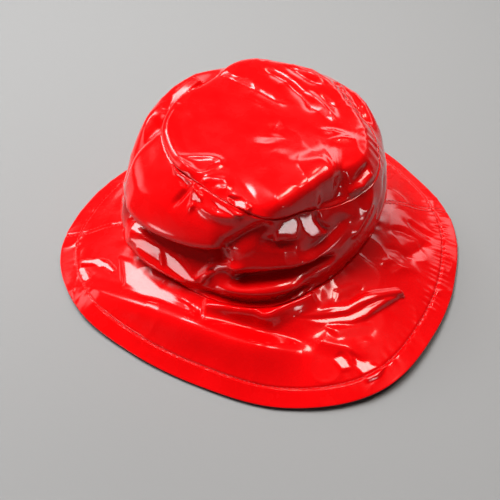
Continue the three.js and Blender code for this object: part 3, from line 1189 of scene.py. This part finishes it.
@dataclass
class CrownWall(ClothPanel):
    """The crown's side panel, from the tip seam down to the brim."""

    rows: int = 100
    columns: int = 460
    fine: tuple = ((0, 0.025, 3), (1, 0.025, 3))

    def build(self) -> bpy.types.Object:
        """Builds the side panel.

        Returns:
            The finished piece.
        """
        turns = np.arange(self.columns) * 360 / self.columns
        shares, angles = np.meshgrid(graded(self.rows, self.fine), turns, indexing="ij")
        outer = self.relief.surface(Panel.WALL, shares, angles)
        skin = Skin()
        front = skin.add_points(outer)
        back = skin.add_points(self.inner(Panel.WALL, shares, angles, outer))
        skin.add_sheet(front, True, False, COATED)
        skin.add_sheet(back, True, True, BACKED)
        skin.add_sheet(np.stack([front[-1], back[-1]]), True, False, COATED)
        skin.add_sheet(np.stack([back[0], front[0]]), True, False, COATED)
        return skin.piece("crown_side_cloth", self.materials, ("crown_side",))


@dataclass
class BrimHalf(ClothPanel):
    """Half of the brim, between its two radial seams."""

    name: str = ""
    node: str = ""
    start: float = 0
    end: float = 0
    rows: int = 96
    step: float = 0.5
    hem_row: float = 0.8
    fine: tuple = ((0, 0.03, 3), (0.8, 0.03, 3), (1, 0.02, 2))
    seam_sink: float = 0.8
    edge_steps: int = 10
    edge_out: float = 0.4
    edge_fill: float = 0.3

    def grid(self) -> tuple:
        """The places of the panel's points, in rows that follow the stitched line.

        Returns:
            The share of the way across the brim, and the angle, of each point.
        """
        columns = round((self.end - self.start) / self.step)
        turns = np.linspace(self.start, self.end, columns + 1)
        steps, angles = np.meshgrid(graded(self.rows, self.fine), turns, indexing="ij")
        hem = SHAPE.hem_share(angles)
        beyond = hem + (steps - self.hem_row) / (1 - self.hem_row) * (1 - hem)
        return np.where(steps < self.hem_row, steps / self.hem_row * hem, beyond), angles

    def coated_side(self, shares: np.ndarray, angles: np.ndarray) -> np.ndarray:
        """The points of the coated side, sunk along the radial seams.

        Args:
            shares: How far across the brim each point lies, from 0 to 1.
            angles: The angle of each point, in the same shape.

        Returns:
            The points, with their coordinates along a last axis.
        """
        outer = self.relief.surface(Panel.BRIM, shares, angles)
        turn = np.radians(np.minimum(angles - self.start, self.end - angles))
        arc = turn * np.hypot(outer[..., 0], outer[..., 1])
        near = np.clip(1 - arc / self.relief.groove_width, 0, 1) ** 2
        sink = self.relief.groove_depth * self.seam_sink * near
        return outer - SHAPE.outwards(Panel.BRIM, shares, angles) * sink[..., None]

    def rolled_edge(self, outer: np.ndarray, inner: np.ndarray) -> np.ndarray:
        """The two rolls of the hem's edge.

        Args:
            outer: The points of the coated side.
            inner: The points of the backed side.

        Returns:
            Rows of points from the one side round to the other.
        """
        middle, half = (outer[-1] + inner[-1]) / 2, (outer[-1] - inner[-1]) / 2
        out = unit(outer[-1] - outer[-2]) * self.thickness * self.edge_out
        turns = np.linspace(0, math.pi, self.edge_steps + 1)[1:-1]
        swells = [self.edge_fill + abs(math.sin(2 * turn)) for turn in turns]
        return np.array([middle + half * math.cos(turn) + out * swell for turn, swell in zip(turns, swells)])

    def build(self) -> bpy.types.Object:
        """Builds this half of the brim.

        Returns:
            The finished piece.
        """
        shares, angles = self.grid()
        outer = self.coated_side(shares, angles)
        inner = self.inner(Panel.BRIM, shares, angles, outer)
        skin = Skin()
        front = skin.add_points(np.concatenate([outer, self.rolled_edge(outer, inner)]))
        back = skin.add_points(inner)
        skin.add_sheet(front, False, False, COATED)
        skin.add_sheet(back, False, True, BACKED)
        skin.add_sheet(np.stack([front[-1], back[-1]]), False, False, COATED)
        skin.add_sheet(np.stack([back[0], front[0]]), False, False, COATED)
        for column, flip in ((0, False), (-1, True)):
            around = np.concatenate([front[:, column], back[::-1, column]]).tolist()
            skin.add_faces([around[::-1] if flip else around], COATED)
        return skin.piece(self.name, self.materials, (self.node,))


@dataclass
class StitchRows:
    """Rows of thread stitches that lie on one half of the brim, between two angles.

    Lifted is the share of its width by which a stitch's middle stands off the cloth.
    """

    relief: Relief
    material: bpy.types.Material
    name: str
    start: float
    end: float
    pitch: float = 3.2
    length: float = 2.3
    width: float = 0.5
    stray: float = 0.08
    seed: int = 5
    lifted: float = 0.25
    hem_margin: float = 1.2
    hem_density: int = 2
    seam_gap: float = 2.2
    seam_span: tuple = (0.06, 0.97)
    seam_points: int = 60
    bead_sides: int = 8
    bead_rings: int = 5

    def inputs(self, tree: bpy.types.NodeTree) -> dict:
        """Names the tree's inputs and its output.

        Args:
            tree: The tree.

        Returns:
            The identifiers of the inputs, by name.
        """
        face = tree.interface
        face.new_socket(name="Line", in_out="INPUT", socket_type="NodeSocketGeometry")
        kinds = {"Pitch": "Float", "Length": "Float", "Width": "Float", "Stray": "Float", "Seed": "Int"}
        names = {}
        for name, kind in kinds.items():
            socket = face.new_socket(name=name, in_out="INPUT", socket_type="NodeSocket" + kind)
            names[name] = socket.identifier
        face.new_socket(name="Stitches", in_out="OUTPUT", socket_type="NodeSocketGeometry")
        return names

    def bead(self, tree: bpy.types.NodeTree, given: dict) -> bpy.types.NodeSocket:
        """Adds the nodes of one stitch, a bead that is drawn out to its length.

        Args:
            tree: The tree.
            given: The sockets of the tree's inputs, by name.

        Returns:
            The socket that gives the stitch.
        """
        sizes = {"Segments": self.bead_sides, "Rings": self.bead_rings, "Radius": 0.5}
        ball = new_node(tree, "GeometryNodeMeshUVSphere", sizes).outputs["Mesh"]
        sides = {"X": given["Length"], "Y": given["Width"], "Z": given["Width"]}
        scale = new_node(tree, "ShaderNodeCombineXYZ", sides).outputs["Vector"]
        return new_node(tree, "GeometryNodeTransform", {"Geometry": ball, "Scale": scale}).outputs["Geometry"]

    def along_line(self, tree: bpy.types.NodeTree) -> bpy.types.NodeSocket:
        """Adds the nodes that turn a stitch along its line and upright on the cloth.

        Args:
            tree: The tree.

        Returns:
            The socket that gives the turn.
        """
        tangent = new_node(tree, "GeometryNodeInputTangent", {}).outputs["Tangent"]
        along = new_node(tree, "FunctionNodeAlignRotationToVector", {"Vector": tangent}, axis="X")
        out = new_node(tree, "GeometryNodeInputNamedAttribute", {"Name": "out"}, data_type="FLOAT_VECTOR")
        turns = {"Rotation": along.outputs["Rotation"], "Vector": out.outputs["Attribute"]}
        upright = new_node(tree, "FunctionNodeAlignRotationToVector", turns, axis="Z", pivot_axis="X")
        return upright.outputs["Rotation"]

    def slant(self, tree: bpy.types.NodeTree, given: dict) -> bpy.types.NodeSocket:
        """Adds the nodes that draw how far each stitch lies askew.

        Args:
            tree: The tree.
            given: The sockets of the tree's inputs, by name.

        Returns:
            The socket that gives the slant.
        """
        less = new_node(tree, "ShaderNodeMath", {0: given["Stray"], 1: -1}, operation="MULTIPLY")
        span = {2: less.outputs["Value"], 3: given["Stray"], "Seed": given["Seed"]}
        chance = new_node(tree, "FunctionNodeRandomValue", span, data_type="FLOAT")
        return new_node(tree, "ShaderNodeCombineXYZ", {"Z": chance.outputs[1]}).outputs["Vector"]

    def tree(self) -> tuple:
        """Builds the node tree that lays the stitches.

        Returns:
            The tree, and the identifiers of its inputs by name.
        """
        tree = bpy.data.node_groups.new("stitch_rows", "GeometryNodeTree")
        names = self.inputs(tree)
        given = new_node(tree, "NodeGroupInput", {}).outputs
        curve = new_node(tree, "GeometryNodeMeshToCurve", {"Mesh": given["Line"]}).outputs["Curve"]
        spaced = {"Curve": curve, "Length": given["Pitch"]}
        even = new_node(tree, "GeometryNodeResampleCurve", spaced, mode="LENGTH").outputs["Curve"]
        laid = {"Points": even, "Instance": self.bead(tree, given), "Rotation": self.along_line(tree)}
        stitches = new_node(tree, "GeometryNodeInstanceOnPoints", laid).outputs["Instances"]
        askew = {"Instances": stitches, "Rotation": self.slant(tree, given)}
        turned = new_node(tree, "GeometryNodeRotateInstances", askew).outputs["Instances"]
        real = new_node(tree, "GeometryNodeRealizeInstances", {"Geometry": turned}).outputs["Geometry"]
        dress = new_node(tree, "GeometryNodeSetMaterial", {"Geometry": real, "Material": self.material})
        new_node(tree, "NodeGroupOutput", {"Stitches": dress.outputs["Geometry"]})
        return tree, names

    def line(self, shares: np.ndarray, angles: np.ndarray) -> tuple:
        """The points of one row on the brim.

        Args:
            shares: How far across the panel each point lies, from 0 to 1.
            angles: The angle of each point, in the same shape.

        Returns:
            The points, and the directions out of the cloth there.
        """
        normals = SHAPE.outwards(Panel.BRIM, shares, angles)
        points = self.relief.surface(Panel.BRIM, shares, angles) + normals * self.width * self.lifted
        return points, normals

    def rows(self) -> list:
        """The rows: the hem's, and one beside each radial seam.

        Returns:
            For each row its points, and the directions out of the cloth there.
        """
        count = round((self.end - self.start) * self.hem_density)
        around = np.linspace(self.start + self.hem_margin, self.end - self.hem_margin, count)
        lines = [self.line(SHAPE.hem_share(around), around)]
        for seam, side in ((self.start, 1), (self.end, -1)):
            shares = np.linspace(*self.seam_span, self.seam_points)
            place = SHAPE.point(Panel.BRIM, shares, np.full(shares.shape, float(seam)))
            radius = np.linalg.norm(place[:, :2], axis=1)
            lines.append(self.line(shares, seam + side * np.degrees(self.seam_gap / radius)))
        return lines

    def lines(self) -> bpy.types.Object:
        """Makes the rows an object of bare lines, which hold the directions out of the cloth.

        Returns:
            The object.
        """
        points, outs, edges = [], [], []
        for line, normals in self.rows():
            first = len(points)
            points += ((line - SHAPE.footprint_middle()) * MM).tolist()
            outs += normals.tolist()
            edges += [(number, number + 1) for number in range(first, len(points) - 1)]
        mesh = bpy.data.meshes.new(self.name + "_line")
        mesh.from_pydata(points, edges, [])
        mesh.attributes.new("out", "FLOAT_VECTOR", "POINT").data.foreach_set("vector", np.ravel(outs))
        return new_object(self.name, mesh)

    def build(self) -> bpy.types.Object:
        """Builds the stitches of this half of the brim.

        Returns:
            The finished piece.
        """
        piece = self.lines()
        tree, names = self.tree()
        modifier = piece.modifiers.new("stitches", "NODES")
        modifier.node_group = tree
        sizes = {"Pitch": self.pitch * MM, "Length": self.length * MM, "Width": self.width * MM}
        for name, value in {**sizes, "Stray": self.stray, "Seed": self.seed}.items():
            modifier[names[name]] = value
        evaluated = piece.evaluated_get(bpy.context.evaluated_depsgraph_get())
        stitches = bpy.data.meshes.new_from_object(evaluated)
        piece.modifiers.clear()
        piece.data = stitches
        stitches.name = self.name
        stitches.polygons.foreach_set("use_smooth", np.ones(len(stitches.polygons), bool))
        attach(piece, BODY)
        return piece


class Weave:
    """Adds nodes to a material's tree, a line for each."""

    pattern_low = 0.3
    pattern_high = 0.7
    band_wander = 1.2
    band_detail = 2.5

    def __init__(self, name: str) -> None:
        """Starts a material with its plain shader, and reads coordinates from the piece.

        Args:
            name: The material's name.
        """
        self.material = bpy.data.materials.new(name)
        self.material.use_nodes = True
        self.tree = self.material.node_tree
        self.shader = self.tree.nodes["Principled BSDF"]
        self.place = self.tree.nodes.new("ShaderNodeTexCoord").outputs["Object"]

    def set(self, **values: float) -> None:
        """Sets the shader's own sockets, by name with lines for spaces."""
        for name, value in values.items():
            self.shader.inputs[name.replace("_", " ")].default_value = value

    def noise(self, scale: float, detail: float = 2, distortion: float = 0) -> bpy.types.NodeSocket:
        """A cloudy pattern, with this many clouds to a metre."""
        inputs = {"Vector": self.place, "Scale": scale, "Detail": detail, "Distortion": distortion}
        return new_node(self.tree, "ShaderNodeTexNoise", inputs).outputs["Fac"]

    def bands(self, scale: float, direction: str) -> bpy.types.NodeSocket:
        """Rounded bands across one direction.

        Args:
            scale: How close the bands are.
            direction: The axis that they cross.

        Returns:
            The socket that gives the pattern.
        """
        inputs = {"Vector": self.place, "Scale": scale, "Distortion": self.band_wander}
        inputs["Detail Scale"] = self.band_detail
        return new_node(self.tree, "ShaderNodeTexWave", inputs, bands_direction=direction).outputs["Fac"]

    def between(self, pattern: bpy.types.NodeSocket, low: float, high: float) -> bpy.types.NodeSocket:
        """A number that runs between two as a pattern does.

        Args:
            pattern: The socket of the pattern.
            low: The number where the pattern is low.
            high: The number where it is high.

        Returns:
            The socket that gives the number.
        """
        inputs = {"Value": pattern, "From Min": self.pattern_low, "From Max": self.pattern_high}
        inputs.update({"To Min": low, "To Max": high})
        return new_node(self.tree, "ShaderNodeMapRange", inputs).outputs["Result"]

    def colours(self, pattern: bpy.types.NodeSocket, low: tuple, high: tuple) -> bpy.types.NodeSocket:
        """A colour that runs between two as a pattern does.

        Args:
            pattern: The socket of the pattern.
            low: The colour where the pattern is low.
            high: The colour where it is high.

        Returns:
            The socket that gives the colour.
        """
        node = new_node(self.tree, "ShaderNodeValToRGB", {"Fac": pattern})
        ends = ((self.pattern_low, low), (self.pattern_high, high))
        for element, (position, colour) in zip(node.color_ramp.elements, ends):
            element.position = position
            element.color = colour
        return node.outputs["Color"]

    def relief(self, patterns: tuple) -> None:
        """Raises the surface by patterns.

        Args:
            patterns: The sockets of the patterns, each with its height in millimetres.
        """
        inputs = {"Strength": 1}
        for pattern, height in patterns:
            inputs.update({"Distance": height * MM, "Height": pattern})
            inputs["Normal"] = new_node(self.tree, "ShaderNodeBump", inputs).outputs["Normal"]
        self.feed("Normal", inputs["Normal"])

    def feed(self, socket: str, value: bpy.types.NodeSocket) -> None:
        """Links a pattern to one of the shader's sockets."""
        self.tree.links.new(value, self.shader.inputs[socket])


@dataclass(frozen=True)
class CoatedFinish:
    """The glossy coated side of the cloth.

    Its patterns are clouds, each given as its clouds to a metre, its detail and its
    distortion. Skin lists patterns with their height in millimetres.
    """

    red: tuple = (0.66, 0.0006, 0.0016, 1)
    deep_red: tuple = (0.58, 0.0004, 0.001, 1)
    tint: tuple = (22, 3, 0.4)
    dulling: tuple = (60, 4)
    roughness: tuple = (0.18, 0.34)
    coat_roughness: float = 0.045
    coat_ior: float = 1.38
    skin: tuple = (((90, 2, 0.5), 0.14), ((420, 2), 0.012), ((1500, 2), 0.003))

    def material(self) -> bpy.types.Material:
        """Makes the material.

        Returns:
            The material.
        """
        cloth = Weave("coated_cloth")
        cloth.set(Specular_IOR_Level=0.1, Coat_Weight=1.0)
        cloth.set(Coat_Roughness=self.coat_roughness, Coat_IOR=self.coat_ior)
        cloth.feed("Base Color", cloth.colours(cloth.noise(*self.tint), self.deep_red, self.red))
        cloth.feed("Roughness", cloth.between(cloth.noise(*self.dulling), *self.roughness))
        cloth.relief(tuple((cloth.noise(*clouds), height) for clouds, height in self.skin))
        return cloth.material


@dataclass(frozen=True)
class BackingFinish:
    """The matt knitted back of the cloth, with its wales, courses and fuzz."""

    red: tuple = (0.5, 0.02, 0.022, 1)
    deep_red: tuple = (0.32, 0.008, 0.01, 1)
    wales: int = 260
    wale_height: float = 0.25
    courses: int = 210
    course_height: float = 0.2
    fuzz: tuple = (900, 3)
    fuzz_height: float = 0.1
    dulling: tuple = (200, 3)
    roughness: tuple = (0.75, 0.95)

    def material(self) -> bpy.types.Material:
        """Makes the material.

        Returns:
            The material.
        """
        cloth = Weave("knit_backing")
        cloth.set(Specular_IOR_Level=0.2, Sheen_Weight=0.25, Sheen_Roughness=0.4)
        wales = cloth.bands(self.wales, "X")
        courses = cloth.bands(self.courses, "Y")
        fuzz = cloth.noise(*self.fuzz)
        cloth.feed("Base Color", cloth.colours(wales, self.deep_red, self.red))
        cloth.feed("Roughness", cloth.between(cloth.noise(*self.dulling), *self.roughness))
        cloth.relief(((wales, self.wale_height), (courses, self.course_height), (fuzz, self.fuzz_height)))
        return cloth.material


@dataclass(frozen=True)
class ThreadFinish:
    """The twisted thread of the stitches."""

    red: tuple = (0.62, 0.006, 0.01, 1)
    deep_red: tuple = (0.3, 0.002, 0.004, 1)
    twists: int = 1100
    twist_height: float = 0.06
    dulling: tuple = (700, 2)
    roughness: tuple = (0.4, 0.6)

    def material(self) -> bpy.types.Material:
        """Makes the material.

        Returns:
            The material.
        """
        thread = Weave("red_thread")
        thread.set(Specular_IOR_Level=0.4, Sheen_Weight=0.3)
        twist = thread.bands(self.twists, "DIAGONAL")
        thread.feed("Base Color", thread.colours(twist, self.deep_red, self.red))
        thread.feed("Roughness", thread.between(thread.noise(*self.dulling), *self.roughness))
        thread.relief(((twist, self.twist_height),))
        return thread.material


@dataclass(frozen=True)
class LampSpec:
    """A soft lamp: the direction it stands in, its size and distance in metres, its power."""

    name: str
    azimuth: float
    elevation: float
    size: tuple
    power: float
    colour: tuple = (1, 1, 1)
    distance: float = 1.3
    mirrored: bool = True

    def place(self) -> np.ndarray:
        """Where the lamp stands.

        Returns:
            The point, in millimetres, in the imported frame.
        """
        turn, rise = math.radians(self.azimuth), math.radians(self.elevation)
        way = np.array([math.cos(turn) * math.cos(rise), math.sin(turn) * math.cos(rise), math.sin(rise)])
        return way * self.distance * METRE + np.array([0, 0, TARGET_HEIGHT])


LAMPS = (
    LampSpec("window", 131, 45, (0.66, 0.34), 5.4),
    LampSpec("window_glow", 134, 44, (1.1, 0.6), 3.6, (1, 1, 1), 1.6),
    LampSpec("overhead", 8, 64, (0.38, 0.38), 5.2, (1, 0.93, 0.85)),
    LampSpec("back_card", 62, 25, (1.8, 0.5), 4.2),
    LampSpec("left_card", 158, 20, (0.7, 0.4), 1.1),
    LampSpec("low_side", 197, 5, (0.5, 0.2), 1.8),
    LampSpec("low_right", 308, 12, (0.17, 0.13), 0.6),
    LampSpec("high", 128, 66, (0.4, 0.22), 4.2),
    LampSpec("zenith", 50, 77, (0.26, 0.26), 2.8, (1, 0.9, 0.78)),
    LampSpec("soft_top", 140, 66, (1.1, 1.1), 49, (1, 1, 1), 1.7, False),
)

DARK_CORNER = LampSpec("shade", 0, 44, (0, 0), 0)


@dataclass
class Studio:
    """Camera, lamps and floor."""

    eye: tuple = (-55.8, -377.1, 403.5)
    tilt: float = 43
    turn: float = -7
    half_view: float = 20
    sensor: float = 36
    lamp_edge: float = 0.6
    lamp_core: float = 0.15
    lamp_peak: float = 1.8
    floor_half: float = 3.0
    floor_colour: tuple = (0.21, 0.21, 0.21, 1)
    floor_roughness: float = 0.8
    dim_light: float = 0.05

    def camera(self) -> None:
        """Makes the camera at the photograph's place and angle."""
        data = bpy.data.cameras.new("camera")
        data.sensor_width = self.sensor
        data.lens = self.sensor / 2 / math.tan(math.radians(self.half_view))
        camera = new_object("camera", data)
        camera.location = Vector(self.eye) * MM
        camera.rotation_euler = (math.radians(self.tilt), 0, math.radians(self.turn))
        bpy.context.scene.camera = camera

    def lamp(self, spec: LampSpec) -> None:
        """Makes a soft lamp that looks at the hat.

        Args:
            spec: The lamp.
        """
        data = bpy.data.lights.new(spec.name, "AREA")
        data.shape = "RECTANGLE"
        data.size, data.size_y = spec.size
        data.energy = spec.power
        data.color = spec.colour
        if spec.mirrored:
            self.soften(data)
        lamp = new_object(spec.name, data)
        place = Vector(spec.place()) * MM
        target = Vector((0, 0, TARGET_HEIGHT)) * MM
        lamp.location = place
        lamp.rotation_euler = (place - target).to_track_quat("Z", "Y").to_euler()
        lamp.visible_glossy = spec.mirrored

    def soften(self, data: bpy.types.Light) -> None:
        """Makes a lamp fade towards its edges, as a diffused lamp does.

        Args:
            data: The lamp's own data.
        """
        data.use_nodes = True
        tree = data.node_tree
        place = new_node(tree, "ShaderNodeNewGeometry", {}).outputs["Parametric"]
        middle = new_node(tree, "ShaderNodeVectorMath", {0: place, 1: (0.5, 0.5, 0)}, operation="DISTANCE")
        ends = {"From Min": self.lamp_edge, "From Max": self.lamp_core, "To Max": self.lamp_peak}
        fade = {"Value": middle.outputs["Value"], **ends}
        bright = new_node(tree, "ShaderNodeMapRange", fade, interpolation_type="SMOOTHSTEP")
        tree.links.new(bright.outputs["Result"], tree.nodes["Emission"].inputs["Strength"])

    def floor(self) -> None:
        """Makes the plain pale floor."""
        mesh = bpy.data.meshes.new("floor")
        signs = ((-1, -1), (1, -1), (1, 1), (-1, 1))
        corners = [(x * self.floor_half, y * self.floor_half, 0) for x, y in signs]
        mesh.from_pydata(corners, [], [(0, 1, 2, 3)])
        floor = new_object("floor", mesh)
        material = bpy.data.materials.new("pale_floor")
        material.use_nodes = True
        shader = material.node_tree.nodes["Principled BSDF"]
        shader.inputs["Base Color"].default_value = self.floor_colour
        shader.inputs["Roughness"].default_value = self.floor_roughness
        mesh.materials.append(material)

    def world(self) -> None:
        """Sets the dim light that comes from all round."""
        world = bpy.data.worlds.new("studio")
        bpy.context.scene.world = world
        world.use_nodes = True
        world.node_tree.nodes["Background"].inputs["Color"].default_value = (1, 1, 1, 1)
        world.node_tree.nodes["Background"].inputs["Strength"].default_value = self.dim_light


def main() -> None:
    """Builds the hat and the studio, and reports each piece."""
    logging.basicConfig(level=logging.INFO)
    studio = Studio()
    studio.camera()
    studio.floor()
    studio.world()
    for spec in LAMPS:
        studio.lamp(spec)
    bpy.context.scene.view_settings.view_transform = "Standard"
    middle = SHAPE.footprint_middle()
    places = {spec.name: spec.place() + middle for spec in (*LAMPS, DARK_CORNER)}
    relief = Relief(SHAPE, places, np.array(studio.eye) + middle)
    materials = [CoatedFinish().material(), BackingFinish().material()]
    thread = ThreadFinish().material()
    front, back = (LEFT_SEAM, RIGHT_SEAM + 360), (RIGHT_SEAM, LEFT_SEAM)
    parts = (
        CrownTip(relief, materials, CROWN_CLOTH),
        CrownWall(relief, materials, CROWN_CLOTH),
        BrimHalf(relief, materials, BRIM_CLOTH, "brim_front_cloth", "brim_front", *front),
        BrimHalf(relief, materials, BRIM_CLOTH, "brim_back_cloth", "brim_back", *back),
        StitchRows(relief, thread, "brim_front_stitches", *front),
        StitchRows(relief, thread, "brim_back_stitches", *back),
    )
    for part in parts:
        piece = part.build()
        log.info("%s: %d faces", piece.name, len(piece.data.polygons))


if __name__ == "__main__":
    main()
